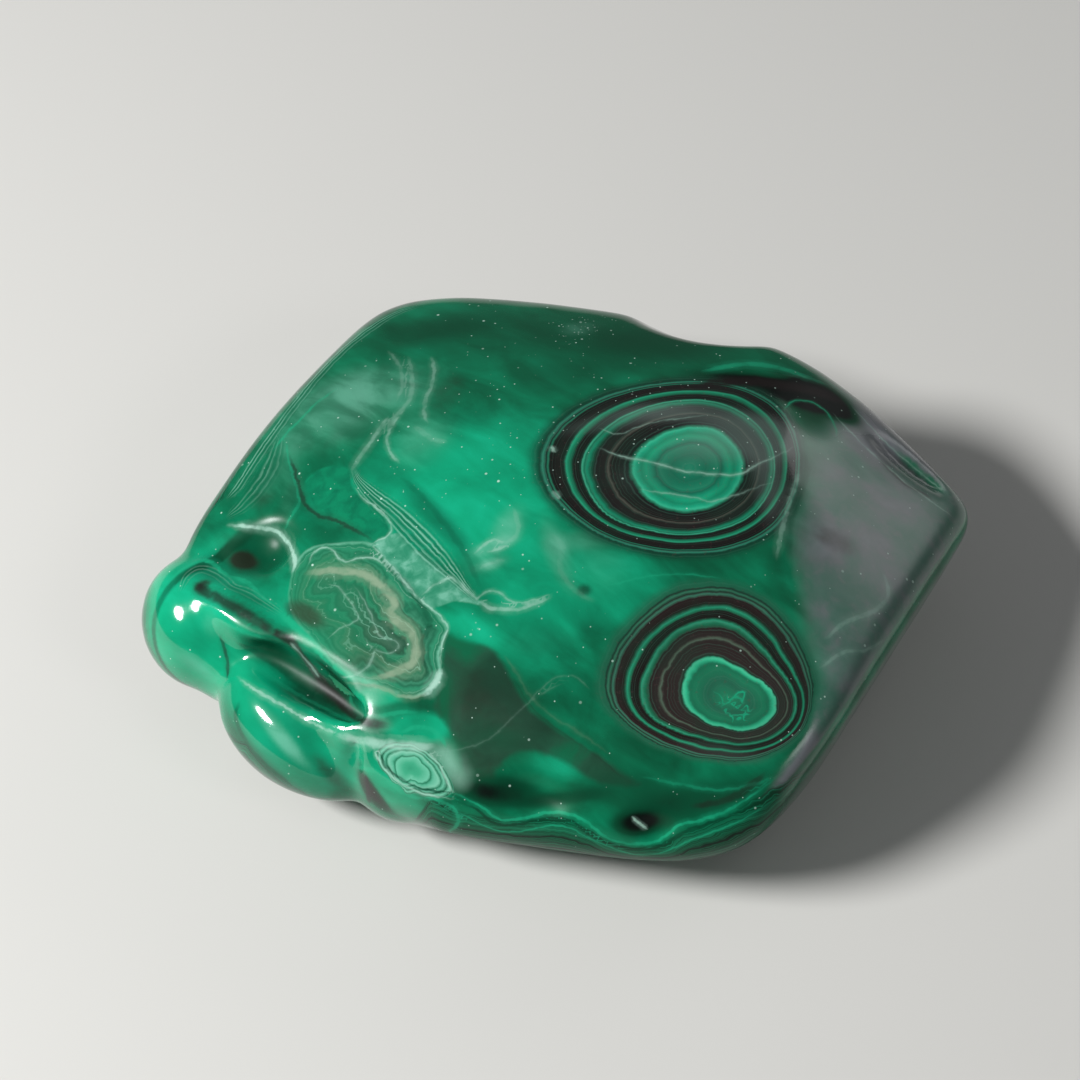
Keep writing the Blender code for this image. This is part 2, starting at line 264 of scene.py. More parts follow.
# Deep green lines: partly real seams, partly painted shade in the mouth and along the lower edge of the
# tongue lobe.
DEEP_GREEN_AND_SHADE_STROKES = (
    (0.34, 0.6, ((376, 550), (392, 569), (405, 583), (415, 597), (424, 610), (430, 622), (426, 634),
        (421, 648), (424, 664), (432, 684))),
    # Painted shade inside the mouth.
    (0.45, 0.7, ((236, 642), (256, 652), (280, 668), (304, 686), (332, 706))),
    (0.22, 0.9, ((450, 800), (470, 806), (481, 813), (494, 823), (515, 825), (540, 819), (565, 819),
        (581, 827), (598, 839), (628, 849), (655, 848), (672, 839), (690, 829), (715, 821), (740, 811),
        (775, 790))),
    (0.16, 0.8, ((378, 748), (384, 762), (393, 773), (406, 782), (420, 788), (436, 791), (456, 792))),
    (0.4, 0.35, ((400, 476), (425, 500), (448, 528), (466, 556), (482, 590))),
    # Painted shade along the lower edge of the tongue lobe.
    (0.4, 0.6, ((240, 700), (236, 720), (250, 748), (278, 775), (310, 797), (345, 808))),
    (0.6, 0.5, ((800, 446), (806, 470), (796, 500), (788, 530), (790, 560))),
)
BEIGE_STROKES = (
    (0.55, 0.85, ((304, 574), (314, 572), (332, 571), (350, 572), (366, 575), (379, 584), (389, 594),
        (395, 603), (390, 612), (398, 622), (410, 630), (414, 640), (416, 655), (408, 666), (395, 672),
        (380, 677), (362, 682))),
    (0.25, 0.5, ((344, 682), (370, 685), (385, 689), (398, 695), (412, 697), (430, 692))),
    (0.16, 0.08, ((504, 654), (514, 668), (526, 690), (540, 706), (558, 720), (584, 736), (612, 756))),
)
STROKES = {
    "deep_green_and_shade_strokes": DEEP_GREEN_AND_SHADE_STROKES,
    "beige_strokes": BEIGE_STROKES,
    "mint_strokes": MINT_STROKES,
    "dark_seams_and_crease_shade": DARK_SEAMS_AND_CREASE_SHADE,
    "pale_veins_and_highlights": PALE_VEINS_AND_HIGHLIGHTS,
}

# Broad clouds of colour: centre, half-sizes along and across, turn (degrees), strength.
BRIGHT_PATCHES = (
    (480, 470, 125, 80, 0, 0.9), (600, 590, 95, 45, -10, 0.85), (530, 650, 60, 40, 30, 0.45),
    (580, 700, 36, 46, 20, 0.25), (180, 635, 46, 58, 0, 0.95), (285, 745, 90, 45, 42, 0.9),
    (422, 728, 28, 16, 0, 1.3), (400, 800, 34, 16, 20, 0.35), (556, 766, 38, 15, 15, 0.5),
    (490, 545, 70, 60, 0, 0.5), (205, 572, 40, 12, 20, 0.6), (330, 490, 34, 22, 0, 0.4),
    (790, 560, 16, 40, 10, 0.35), (380, 696, 24, 9, 0, 0.9), (318, 590, 24, 30, 20, 1.0),
    (460, 625, 40, 14, 30, 0.6),
)
# Deep green and near-black clouds: partly real markings, partly painted shade on the back slope that turns
# away from the key light, in the hollows at the front and in the mouth, and along the lower edges of the
# lobes.
DEEP_GREEN_AND_SHADE_PATCHES = (
    # Painted shade on the back slope.
    (560, 330, 190, 36, 5, 0.55), (680, 350, 110, 24, 12, 0.45), (570, 378, 70, 20, 0, 0.4),
    # Painted shade in the hollows at the front.
    (508, 792, 36, 17, 10, 1.15), (565, 798, 36, 8, -8, 0.8), (638, 824, 25, 12, 0, 1.35),
    (770, 388, 60, 11, 5, 1.9), (822, 394, 36, 12, 22, 2.0), (812, 420, 26, 16, 30, 0.45),
    (806, 396, 34, 8, 10, 0.9), (700, 800, 80, 20, -15, 0.7), (630, 790, 60, 24, 10, 0.6),
    (808, 412, 20, 10, 25, 0.35), (300, 672, 44, 18, 42, 0.6), (326, 702, 30, 10, 40, 0.7),
    (262, 645, 26, 12, 20, 0.6), (373, 794, 8, 12, 0, 1.1), (441, 812, 10, 9, 30, 1.6),
    (252, 562, 38, 22, 10, 0.7), (450, 390, 24, 24, 0, 0.35), (340, 506, 30, 16, 30, 0.35),
    (240, 748, 12, 40, -40, 0.5), (200, 700, 44, 10, 20, 0.7), (510, 740, 36, 16, 20, 0.4),
    (466, 716, 36, 50, -10, 0.3), (262, 480, 16, 30, 20, 0.5), (470, 790, 30, 14, 20, 0.8),
    (310, 790, 60, 12, 30, 0.5), (420, 330, 60, 16, -20, 0.35), (438, 520, 70, 15, 52, 0.5),
    (584, 590, 9, 7, 0, 0.8),
)
# Brown clouds, mostly real, with a painted shadow beside the tongue lobe and painted shade in the crease
# between the front lobes.
BROWN_AND_SHADOW_PATCHES = (
    (455, 700, 26, 40, 0, 0.3), (496, 716, 44, 20, 30, 0.35), (484, 766, 26, 20, 20, 0.4),
    (446, 393, 22, 26, 0, 0.55), (305, 614, 24, 12, 35, 1.3), (243, 560, 12, 8, -10, 1.7),
    # The narrow cloud beside the tongue lobe is a painted shadow, and the small one after it is painted
    # shade in the crease.
    (262, 572, 26, 16, 20, 0.4), (332, 775, 10, 26, -42, 0.8), (372, 792, 7, 12, 0, 0.8),
    (836, 540, 22, 14, 0, 0.8), (441, 810, 10, 9, 30, 1.0), (202, 585, 9, 7, 0, 1.0),
    (255, 500, 12, 18, 20, 0.4), (362, 640, 34, 30, 30, 0.5), (365, 664, 30, 12, 0, 0.4),
    (796, 606, 10, 26, -20, 0.3), (905, 540, 40, 34, 30, 0.12), (836, 716, 14, 36, 20, 0.2),
    (402, 345, 36, 10, -20, 0.3), (480, 680, 26, 30, 40, 0.25), (270, 500, 12, 20, 0, 0.3),
)
# Milky clouds; the streak along the tongue lobe and the thin white band above the lens are partly painted
# highlights.
PALE_AND_HIGHLIGHT_PATCHES = (
    (340, 412, 56, 38, 20, 0.65), (378, 380, 36, 26, 30, 0.45), (424, 440, 30, 26, 0, 0.45),
    (508, 526, 15, 22, 15, 0.7), (494, 546, 22, 7, -22, 0.7), (490, 564, 18, 6, -15, 0.6),
    (556, 552, 12, 36, -15, 0.5), (582, 540, 34, 11, -10, 0.35), (602, 572, 30, 28, 0, 0.25),
    (280, 736, 8, 44, -42, 1.0), (290, 500, 12, 30, 0, 0.25), (280, 470, 16, 34, 10, 0.25),
    (195, 665, 26, 7, 30, 0.5), (212, 625, 8, 14, 0, 0.5), (340, 550, 40, 10, 0, 0.4),
    (690, 450, 50, 20, 0, 0.2), (390, 746, 52, 5, 5, 0.6), (840, 620, 40, 40, 0, 0.25),
    (835, 665, 22, 20, 0, 0.35), (870, 480, 50, 14, 40, 0.3), (480, 560, 24, 18, 0, 0.3),
    (580, 328, 18, 8, 10, 0.4), (540, 640, 40, 16, 0, 0.12), (448, 765, 10, 22, -20, 0.7),
)
# A faint grey painted reflection of a softbox over parts of both eyes.
PAINTED_REFLECTION_PATCHES = (
    (740, 440, 60, 26, -25, 0.8), (620, 420, 60, 12, -25, 0.5), (700, 412, 80, 12, 0, 0.5),
    (770, 480, 20, 50, 10, 0.6), (640, 480, 40, 20, 0, 0.3), (720, 752, 60, 12, 10, 0.35),
)
WORN_PATCHES = (
    (300, 670, 56, 22, 42, 1.0), (344, 704, 34, 14, 40, 1.0), (255, 640, 30, 12, 20, 0.8),
    (256, 550, 44, 28, 10, 0.8), (372, 724, 24, 10, 10, 0.8), (543, 783, 26, 12, 15, 1.0),
    (668, 822, 28, 14, -10, 1.0), (780, 386, 70, 14, 8, 1.0), (826, 398, 34, 16, 25, 1.0),
    (812, 420, 30, 18, 30, 0.8), (470, 826, 44, 14, 12, 1.0), (548, 832, 50, 14, 4, 1.0),
    (640, 856, 60, 14, 4, 1.0), (730, 836, 56, 14, -28, 1.0),
)
SPECKLE_PATCHES = (
    (580, 328, 24, 14, 10, 1.3), (468, 628, 20, 12, 20, 0.6), (640, 400, 200, 60, 0, 0.12),
    (460, 500, 120, 70, 0, 0.1), (330, 480, 40, 30, 0, 0.14), (560, 470, 12, 30, 0, 0.3),
)

CLOUDS = {
    "bright": BRIGHT_PATCHES,
    "deep": DEEP_GREEN_AND_SHADE_PATCHES,
    "brown": BROWN_AND_SHADOW_PATCHES,
    "pale": PALE_AND_HIGHLIGHT_PATCHES,
    "painted_reflection": PAINTED_REFLECTION_PATCHES,
    "worn": WORN_PATCHES,
    "speckle": SPECKLE_PATCHES,
}

# The edge between the crown and the layered sides, as places round the stone.
EDGE_MARKS = (
    (432, 794), (463, 812), (497, 818), (530, 815), (563, 818), (590, 828), (607, 840), (637, 846),
    (663, 842), (683, 829), (713, 818), (740, 805), (772, 786), (800, 770), (416, 826), (378, 816),
    (335, 813), (290, 787), (246, 742), (204, 696), (164, 678), (146, 640), (222, 500), (258, 444),
    (296, 397), (340, 350), (390, 313),
)
# The same edge where the picture doesn't show it: compass angle (degrees) and height (mm).
HIDDEN_EDGE = (
    (-28, 12.0), (-10, 12.0), (8, 13.0), (30, 16.5), (55, 18.0), (80, 18.0), (105, 17.5),
)

# Relief on the skin: name, half width (mm), depth (mm, down is negative), and its places.
RELIEF_LINES = (
    ("groove", 0.5, -0.16, ((287, 453), (297, 483), (301, 503), (314, 514), (340, 524), (368, 538))),
    ("ridge_core", 0.6, -0.18, ((200, 590), (212, 598), (228, 607), (248, 620), (272, 633))),
    ("ridge_edge", 0.6, 0.14, ((190, 567), (205, 560), (215, 565), (225, 577), (245, 584), (260, 596))),
    ("tongue_edge", 0.8, 0.15, ((240, 660), (250, 675), (275, 697), (300, 717), (330, 732), (360, 741))),
)

# A distance (mm) that stands for out of reach.
FAR_AWAY = 1000.0

# A stroke is stored out to this distance (mm) from its middle, as half a turn each way.
STROKE_REACH = 1.2

# A band of lines reaches this far (mm), and is counted out to this many of its half widths.
BUNDLE_REACH = 4.0
BUNDLE_HALVES = 2.9

# How far an area's edge is measured (mm): any area's, and the agate's.
EDGE_REACH = 3.0
AGATE_DEPTH = 8.0

# A cloud's depth through the stone, as a multiple of its size, and how sharply it fades.
CLOUD_DEPTH = 1.6
CLOUD_FALL = 1.4

# Each eye goes down as a column: its lean across (mm for each mm down) and its narrowing.
FIRST_EYE_COLUMN = ((-0.12, 0.1), 0.008)
SECOND_EYE_COLUMN = ((-0.2, 0.3), 0.012)
LENS_COLUMN = ((0.0, 0.0), 0.0)
RINGS = (
    ("first_eye", FIRST_EYE_CENTRE, FIRST_EYE_OUTLINES, FIRST_EYE_COLUMN),
    ("second_eye", SECOND_EYE_CENTRE, SECOND_EYE_OUTLINES, SECOND_EYE_COLUMN),
    ("lens", LENS_CENTRE, LENS_OUTLINES, LENS_COLUMN),
)
# How fast the ring value grows outside the last outline, for each further radius.
RING_SPREAD = 3.0

# The lens shows above this height (mm), where the skin doesn't face down more than this.
LENS_LOWEST = 6.0
LENS_LEAN = -0.2
LENS_OUTSIDE = 6.0

# This face carries a grey painted reflection of a softbox over its green.
# The face at the pointed end: how far its normal leans to +X and how far it rises at its edge,
# where it starts (mm), how that start slants towards the back, and how soft each edge is.
RIGHT_FACE_LEAN = 0.25
RIGHT_FACE_RISE = 0.42
RIGHT_FACE_START = 26.4
RIGHT_FACE_SLANT = 0.28
RIGHT_FACE_SOFTNESS = (0.10, 0.08, 4.0)
RIGHT_FACE_LIMIT = 2.0

# Softboxes: name, place and size (mm), and power (W). They face a point over the floor.
LIGHT_TARGET = (0.0, 0.0, 14.0)
SOFTBOXES = (
    ("key_softbox", (-490.0, -130.0, 430.0), (230.0, 130.0), 6.4),
    ("right_softbox", (500.0, 440.0, 300.0), (520.0, 260.0), 0.5),
    ("fill_softbox", (420.0, -330.0, 420.0), (260.0, 160.0), 0.35),
)
ROOM_LIGHT = (0.90, 0.95, 1.0, 1.0)
ROOM_STRENGTH = 0.10
FLOOR_SIZE = 6.0

DEEP_GREEN = "023F28"
DARK_GREEN = "02301E"
BLACK_GREEN = "040D09"
BROWN_BLACK = "1E1817"
DARK_BROWN = "23211A"
PALE_GREEN = "6FB49B"
WHITE_GREEN = "BFDDCF"


class StoneSettings(bpy.types.PropertyGroup):
    skin_cell: FloatProperty(
        name="Skin cell",
        description="Distance between neighbouring points of the stone's skin",
        default=0.43 * MM,
        unit="LENGTH",
    )
    polish_passes: IntProperty(
        name="Polish passes",
        description="How often the skin is smoothed, as a hand polish wears it",
        default=20,
    )
    waviness: FloatProperty(
        name="Waviness",
        description="Height of the slow swells that a hand polish leaves",
        default=0.07 * MM,
        unit="LENGTH",
    )


class StageSettings(bpy.types.PropertyGroup):
    elevation: FloatProperty(
        name="Camera elevation",
        description="Angle of the camera above the floor",
        default=math.radians(50.0),
        subtype="ANGLE",
        unit="ROTATION",
    )
    distance: FloatProperty(
        name="Camera distance",
        description="Distance from the camera to the middle of the stone",
        default=333.3 * MM,
        unit="LENGTH",
    )
    lens: FloatProperty(
        name="Lens",
        description="Focal length of the camera's lens, in millimetres",
        default=100.0,
    )


def camera_place(settings):
    """The camera's position, and its right, up and back directions, in metres."""
    turn = settings.elevation
    back = Vector((0.0, -math.cos(turn), math.sin(turn)))
    right = Vector((1.0, 0.0, 0.0))
    place = Vector(CAMERA_TARGET) * MM + back * settings.distance
    return place, right, back.cross(right), back


class MarkCaster:
    """Carries places in the picture onto the stone's skin, along the camera's lines of sight.

    A place just off the stone goes to the part of its outline that is nearest to the line of sight.
    """

    tries = 6

    def __init__(self, points, faces, settings):
        self.tree = BVHTree.FromPolygons([Vector(p) for p in points], faces)
        self.place, self.right, self.up, self.back = camera_place(settings)
        self.scale = SENSOR_WIDTH / settings.lens / PICTURE_WIDTH

    def __call__(self, mark):
        across = (mark[0] - PICTURE_WIDTH / 2) * self.scale
        rise = (PICTURE_WIDTH / 2 - mark[1]) * self.scale
        sight = (self.right * across + self.up * rise - self.back).normalized()
        start = self.place / MM
        hit = self.tree.ray_cast(start, sight)[0]
        if hit is None:
            near = start + sight * (Vector(CAMERA_TARGET) - start).length
            for _ in range(self.tries):
                hit = self.tree.find_nearest(near)[0]
                near = start + sight * (hit - start).dot(sight)
        return np.array(hit)


def curve_through(marks, steps=10):
    """Places along a smooth curve through the marks."""
    points = np.array(marks, dtype=float)
    ends = np.vstack((2 * points[0] - points[1], points, 2 * points[-1] - points[-2]))
    made = []
    for i in range(1, len(ends) - 2):
        before, first, second, after = ends[i - 1], ends[i], ends[i + 1], ends[i + 2]
        for t in np.arange(steps) / steps:
            made.append(
                0.5
                * (
                    2 * first
                    + (second - before) * t
                    + (2 * before - 5 * first + 4 * second - after) * t**2
                    + (3 * first - before - 3 * second + after) * t**3
                )
            )
    made.append(points[-1])
    return np.array(made)


def nearest_on_line(skin, line, reach):
    """For each point: distance to a line of places (mm), share along it, and which side it is."""
    points, normals = skin
    distance = np.full(len(points), FAR_AWAY)
    along = np.zeros(len(points))
    side = np.ones(len(points))
    low, high = line.min(axis=0) - reach, line.max(axis=0) + reach
    near = np.flatnonzero(np.all((points > low) & (points < high), axis=1))
    close = points[near]
    best = np.full(len(near), FAR_AWAY)
    for i in range(len(line) - 1):
        step = line[i + 1] - line[i]
        length = max(np.linalg.norm(step), 1e-6)
        offset = close - line[i]
        share = np.clip(offset @ step / length**2, 0.0, 1.0)
        gap = np.linalg.norm(offset - share[:, None] * step, axis=1)
        better = gap < best
        best[better] = gap[better]
        chosen = near[better]
        along[chosen] = (i + share[better]) / (len(line) - 1)
        side[chosen] = np.sign(np.einsum("ij,ij->i", np.cross(step, offset[better]), normals[chosen]))
    distance[near] = best
    return distance, along, side


def ring_field(points, cast, centre, outlines, column):
    """Grows from 0 at the middle by 1 at each outline, down a column through the stone."""
    lean, taper = column
    middle = cast(centre)
    depth = np.clip(middle[2] - points[:, 2], 0.0, None)
    flat = points[:, :2] - middle[:2] - depth[:, None] * np.array(lean)
    radius = np.hypot(flat[:, 0], flat[:, 1]) / (1.0 - taper * depth)
    angle = np.arctan2(flat[:, 1], flat[:, 0])
    field = np.zeros(len(points))
    inner = np.zeros(len(points))
    for outline in outlines:
        outer = outline_radius(angle, [cast(mark)[:2] - middle[:2] for mark in outline])
        field += np.clip((radius - inner) / (outer - inner), 0.0, 1.0)
        inner = outer
    return field + np.clip((radius - inner) / inner, 0.0, 1.0) * RING_SPREAD


def outline_radius(angle, corners):
    """The distance to a rounded outline at each angle, from its corners round the middle."""
    turns = np.array([math.atan2(y, x) for x, y in corners])
    reach = np.array([math.hypot(x, y) for x, y in corners])
    fine = np.linspace(-math.pi, math.pi, 120, endpoint=False)
    radii = np.interp(fine, *sorted_by(turns, reach), period=2 * math.pi)
    for _ in range(4):
        radii = (np.roll(radii, 1) + 2 * radii + np.roll(radii, -1)) / 4
    return np.interp(angle, fine, radii, period=2 * math.pi)


def sorted_by(keys, values):
    """Both lists, in the order of the first."""
    order = np.argsort(keys)
    return keys[order], values[order]


def cloud_field(points, cast, clouds):
    """The sum of soft round clouds, each as strong in its middle as it says."""
    field = np.zeros(len(points))
    for across, down, half, half_across, turn, strength in clouds:
        lean = math.radians(turn)
        middle = cast((across, down))
        along = cast((across + half * math.cos(lean), down + half * math.sin(lean))) - middle
        beside = cast(
            (across - half_across * math.sin(lean), down + half_across * math.cos(lean))
        ) - middle
        offset = points - middle
        first = offset @ along / (along @ along)
        second = offset @ beside / (beside @ beside)
        third = np.linalg.norm(offset, axis=1) / max(np.linalg.norm(along), np.linalg.norm(beside))
        gap = np.maximum(first**2 + second**2, (third / CLOUD_DEPTH) ** 2)
        field += strength * np.exp(-(gap**CLOUD_FALL))
    return field


def relief_field(skin, cast, lines):
    """Height of some thin soft ribs and grooves at each point (mm)."""
    field = np.zeros(len(skin[0]))
    for _, width, height, marks in lines:
        line = np.array([cast(mark) for mark in curve_through(marks)])
        distance, along, _ = nearest_on_line(skin, line, width * 3)
        taper = np.clip(np.minimum(along, 1.0 - along) * 8.0, 0.0, 1.0)
        bump = height * taper * np.exp(-((distance / width) ** 2))
        field = np.where(np.abs(bump) > np.abs(field), bump, field)
    return field


def stroke_field(skin, cast, strokes):
    """Four values a point: cosine and sine of the turn across the nearest stroke, width, strength."""
    count = len(skin[0])
    best = np.full(count, STROKE_REACH)
    turn = np.full(count, math.pi)
    width = np.full(count, 0.2)
    strength = np.zeros(count)
    for half, power, marks in strokes:
        line = np.array([cast(mark) for mark in curve_through(marks, 6)])
        distance, along, side = nearest_on_line(skin, line, STROKE_REACH)
        ends = np.minimum(along, 1.0 - along)
        reach = half * np.clip(0.5 + ends * 3.0, 0.0, 1.0)
        closer = (distance < STROKE_REACH) & (distance - reach < best)
        best[closer] = (distance - reach)[closer]
        turn[closer] = (distance * side)[closer] / STROKE_REACH * math.pi
        width[closer] = reach[closer]
        strength[closer] = power * np.clip(ends[closer] * 9.0, 0.0, 1.0)
    return np.stack((np.cos(turn), np.sin(turn), width, strength), axis=1)


def bundle_field(skin, cast):
    """Counts lines across each band of parallel lines, and says how much the band shows."""
    count = np.zeros(len(skin[0]))
    shows = np.zeros(len(skin[0]))
    for lines, power, marks in BUNDLES:
        curve = curve_through(marks, 6)
        line = np.array([cast(mark[1:]) for mark in curve])
        distance, along, side = nearest_on_line(skin, line, BUNDLE_REACH)
        half = np.interp(along, np.linspace(0.0, 1.0, len(curve)), curve[:, 0])
        across = distance * side / half
        ends = np.clip(np.minimum(along, 1.0 - along) * 12.0, 0.0, 1.0)
        seen = np.clip((1.1 - np.abs(across)) * 2.5, 0.0, 1.0) * ends * power
        chosen = (distance < BUNDLE_REACH) & (np.abs(across) < BUNDLE_HALVES) & (seen >= shows)
        count[chosen] = across[chosen] * lines / 2
        shows[chosen] = seen[chosen]
    return count, shows


def area_field(skin, cast, outline, reach=EDGE_REACH):
    """Distance inside the edge of an area (mm), negative outside it, out to a reach."""
    points, normals = skin
    closed = outline + outline[:2]
    line = np.array([cast(mark) for mark in curve_through(closed, 4)])
    distance = nearest_on_line(skin, line, reach)[0]
    inside = np.zeros(len(points), dtype=bool)
    corners = line[4:-3]
    for first, second in zip(corners, np.roll(corners, -1, axis=0)):
        spans = (first[1] > points[:, 1]) != (second[1] > points[:, 1])
        rise = second[1] - first[1]
        rise = rise if abs(rise) > 1e-9 else 1e-9
        crossing = first[0] + (points[:, 1] - first[1]) / rise * (second[0] - first[0])
        inside ^= spans & (points[:, 0] < crossing)
    inside &= normals[:, 2] > 0.0
    return np.clip(np.where(inside, distance, -distance), -reach, reach)


def facing_field(skin):
    """Above 0 on the ground face that leans to the stone's pointed end, below 0 elsewhere; it places that
    face's grey painted reflection and duller polish.
    """
    points, normals = skin
    lean_softness, rise_softness, start_softness = RIGHT_FACE_SOFTNESS
    leans = (normals[:, 0] - RIGHT_FACE_LEAN) / lean_softness
    rises = (normals[:, 2] - RIGHT_FACE_RISE) / rise_softness
    beyond = (points[:, 0] - RIGHT_FACE_START - RIGHT_FACE_SLANT * points[:, 1]) / start_softness
    least = np.minimum(np.minimum(leans, rises), beyond)
    return np.clip(least, -RIGHT_FACE_LIMIT, RIGHT_FACE_LIMIT)


def edge_depth(points, cast):
    """How far each point lies below the edge between the crown and the sides (mm)."""
    marks = np.array([cast(mark) for mark in EDGE_MARKS])
    hidden = np.array(HIDDEN_EDGE)
    turns = np.concatenate((np.arctan2(marks[:, 1], marks[:, 0]), np.radians(hidden[:, 0])))
    heights = np.concatenate((marks[:, 2], hidden[:, 1]))
    angle = np.arctan2(points[:, 1], points[:, 0])
    edge = np.interp(angle, *sorted_by(turns, heights), period=2 * math.pi)
    return edge - points[:, 2]


def noise_field(points, size, seed):
    """Smooth noise from about -1 to 1, with features of the given size (mm)."""
    shift = Vector((seed, seed * 2.0, -seed))
    return np.array([noise.noise(Vector(p) / size + shift) for p in points])


def points_of(mesh):
    """The mesh's points, in millimetres."""
    flat = np.empty(len(mesh.vertices) * 3)
    mesh.vertices.foreach_get("co", flat)
    return flat.reshape(-1, 3) / MM


def normals_of(mesh):
    flat = np.empty(len(mesh.vertices) * 3)
    mesh.vertex_normals.foreach_get("vector", flat)
    return flat.reshape(-1, 3)


def make_skin(node, settings):
    """The stone's fine skin: its solid, rounded over, meshed evenly and polished."""
    work = bmesh.new()
    work.from_mesh(node.data)
    bmesh.ops.remove_doubles(work, verts=work.verts, dist=0.001 * MM)
    mesh = bpy.data.meshes.new("malachite_stone")
    work.to_mesh(mesh)
    work.free()
    stone = bpy.data.objects.new("malachite_stone", mesh)
    bpy.context.scene.collection.objects.link(stone)
    rounding = stone.modifiers.new("rounding", "SUBSURF")
    rounding.levels = rounding.render_levels = 2
    even = stone.modifiers.new("even_skin", "REMESH")
    even.mode = "VOXEL"
    even.voxel_size = settings.skin_cell
    polish = stone.modifiers.new("polish", "SMOOTH")
    polish.factor = 0.5
    polish.iterations = settings.polish_passes
    bpy.context.view_layer.update()
    graph = bpy.context.evaluated_depsgraph_get()
    skin = bpy.data.meshes.new_from_object(stone.evaluated_get(graph))
    stone.modifiers.clear()
    stone.data = skin
    skin.name = "malachite_stone"
    return stone


def carve(mesh, cast, settings):
    """Fine relief: slow swells of the hand polish, and thin ridges and grooves."""
    points, normals = points_of(mesh), normals_of(mesh)
    swell = noise_field(points, 9.0, 3.0) * settings.waviness / MM
    swell += noise_field(points, 3.5, 11.0) * settings.waviness / MM * 0.3
    relief = relief_field((points, normals), cast, RELIEF_LINES)
    points += normals * (swell + relief)[:, None]
    low, high = (np.array(corner) / MM for corner in cad_box)
    points = np.clip(points, low, high)
    mesh.vertices.foreach_set("co", (points * MM).ravel())
    mesh.update()


def mark_skin(mesh, cast):
    """Stores each marking as values at every point of the skin."""
    points, normals = points_of(mesh), normals_of(mesh)
    skin = (points, normals)
    fields = {
        "clear_cell": area_field(skin, cast, CLEAR_CELL),
        "pale_panel": area_field(skin, cast, PALE_PANEL),
        "agate": area_field(skin, cast, AGATE, AGATE_DEPTH),
        "brown_pane": area_field(skin, cast, BROWN_PANE),
        "milky": area_field(skin, cast, MILKY_AND_HIGHLIGHT_AREA),
        "right_face": facing_field(skin),
        "edge_depth": edge_depth(points, cast),
    }
    for name, clouds in CLOUDS.items():
        fields[name] = cloud_field(points, cast, clouds)
    for name, *shape in RINGS:
        fields[name] = ring_field(points, cast, *shape)
    fields["bundle"], fields["bundle_shows"] = bundle_field(skin, cast)
    on_lobe = (normals[:, 2] > LENS_LEAN) & (points[:, 2] > LENS_LOWEST)
    fields["lens"] = np.where(on_lobe, fields["lens"], LENS_OUTSIDE)
    for name, values in fields.items():
        layer = mesh.attributes.new(name, "FLOAT", "POINT")
        layer.data.foreach_set("value", values.astype(np.float32))
    for name, strokes in STROKES.items():
        layer = mesh.attributes.new(name, "FLOAT_COLOR", "POINT")
        values = stroke_field(skin, cast, strokes).astype(np.float32)
        layer.data.foreach_set("color", values.ravel())


def linear(hex_colour):
    """A linear colour from an sRGB hex value."""
    shares = (int(hex_colour[i : i + 2], 16) / 255 for i in (0, 2, 4))
    curved = (s / 12.92 if s <= 0.04045 else ((s + 0.055) / 1.055) ** 2.4 for s in shares)
    return (*curved, 1.0)


class NodeWriter:
    """Adds the nodes of one material, each with its settings and links."""

    def __init__(self, material):
        self.tree = material.node_tree

    def node(self, kind, settings=None, **inputs):
        made = self.tree.nodes.new(kind)
        for name, value in (settings or {}).items():
            setattr(made, name, value)
        for name, value in inputs.items():
            self.feed(made.inputs[name.replace("_", " ")], value)
        return made

    def feed(self, socket, value):
        if isinstance(value, bpy.types.NodeSocket):
            self.tree.links.new(value, socket)
        else:
            socket.default_value = value

    def math(self, operation, first, second=0.0, third=0.0):
        made = self.tree.nodes.new("ShaderNodeMath")
        made.operation = operation
        for socket, value in zip(made.inputs, (first, second, third)):
            self.feed(socket, value)
        return made.outputs[0]

    def field(self, name):
        return self.node("ShaderNodeAttribute", {"attribute_name": name}).outputs["Fac"]

    def remap(self, value, low, high, to_low=0.0, to_high=1.0):
        made = self.node("ShaderNodeMapRange", {"interpolation_type": "SMOOTHSTEP"}, Value=value)
        limits = {"From Min": low, "From Max": high, "To Min": to_low, "To Max": to_high}
        for name, number in limits.items():
            made.inputs[name].default_value = number
        return made.outputs["Result"]

    def noise(self, place, size_mm, detail=2.0, distortion=0.0):
        made = self.node("ShaderNodeTexNoise", Vector=place, Scale=1.0 / size_mm, Detail=detail)
        made.inputs["Distortion"].default_value = distortion
        return made.outputs["Fac"]

    def stripe(self, value, per_unit, detail=1.0):
        """Irregular stripes along one value: noise with a single dimension."""
        made = self.node("ShaderNodeTexNoise", {"noise_dimensions": "1D"}, W=value, Detail=detail)
        made.inputs["Scale"].default_value = per_unit
        return made.outputs["Fac"]

    def ramp(self, value, stops):
        made = self.node("ShaderNodeValToRGB", Fac=value)
        marks = made.color_ramp.elements
        while len(marks) < len(stops):
            marks.new(1.0)
        for mark, (place, colour) in zip(marks, stops):
            mark.position = place
            mark.color = linear(colour)
        return made.outputs["Color"]

    def mix(self, share, first, second):
        made = self.node("ShaderNodeMix", {"data_type": "RGBA"})
        self.feed(made.inputs["Factor"], share)
        self.feed(made.inputs[6], first if not isinstance(first, str) else linear(first))
        self.feed(made.inputs[7], second if not isinstance(second, str) else linear(second))
        return made.outputs[2]


def ring_stops(rings, top):
    """Ramp stops, from places counted in outlines, where the ramp's end is at top."""
    return [(place / top, colour) for place, colour in rings]


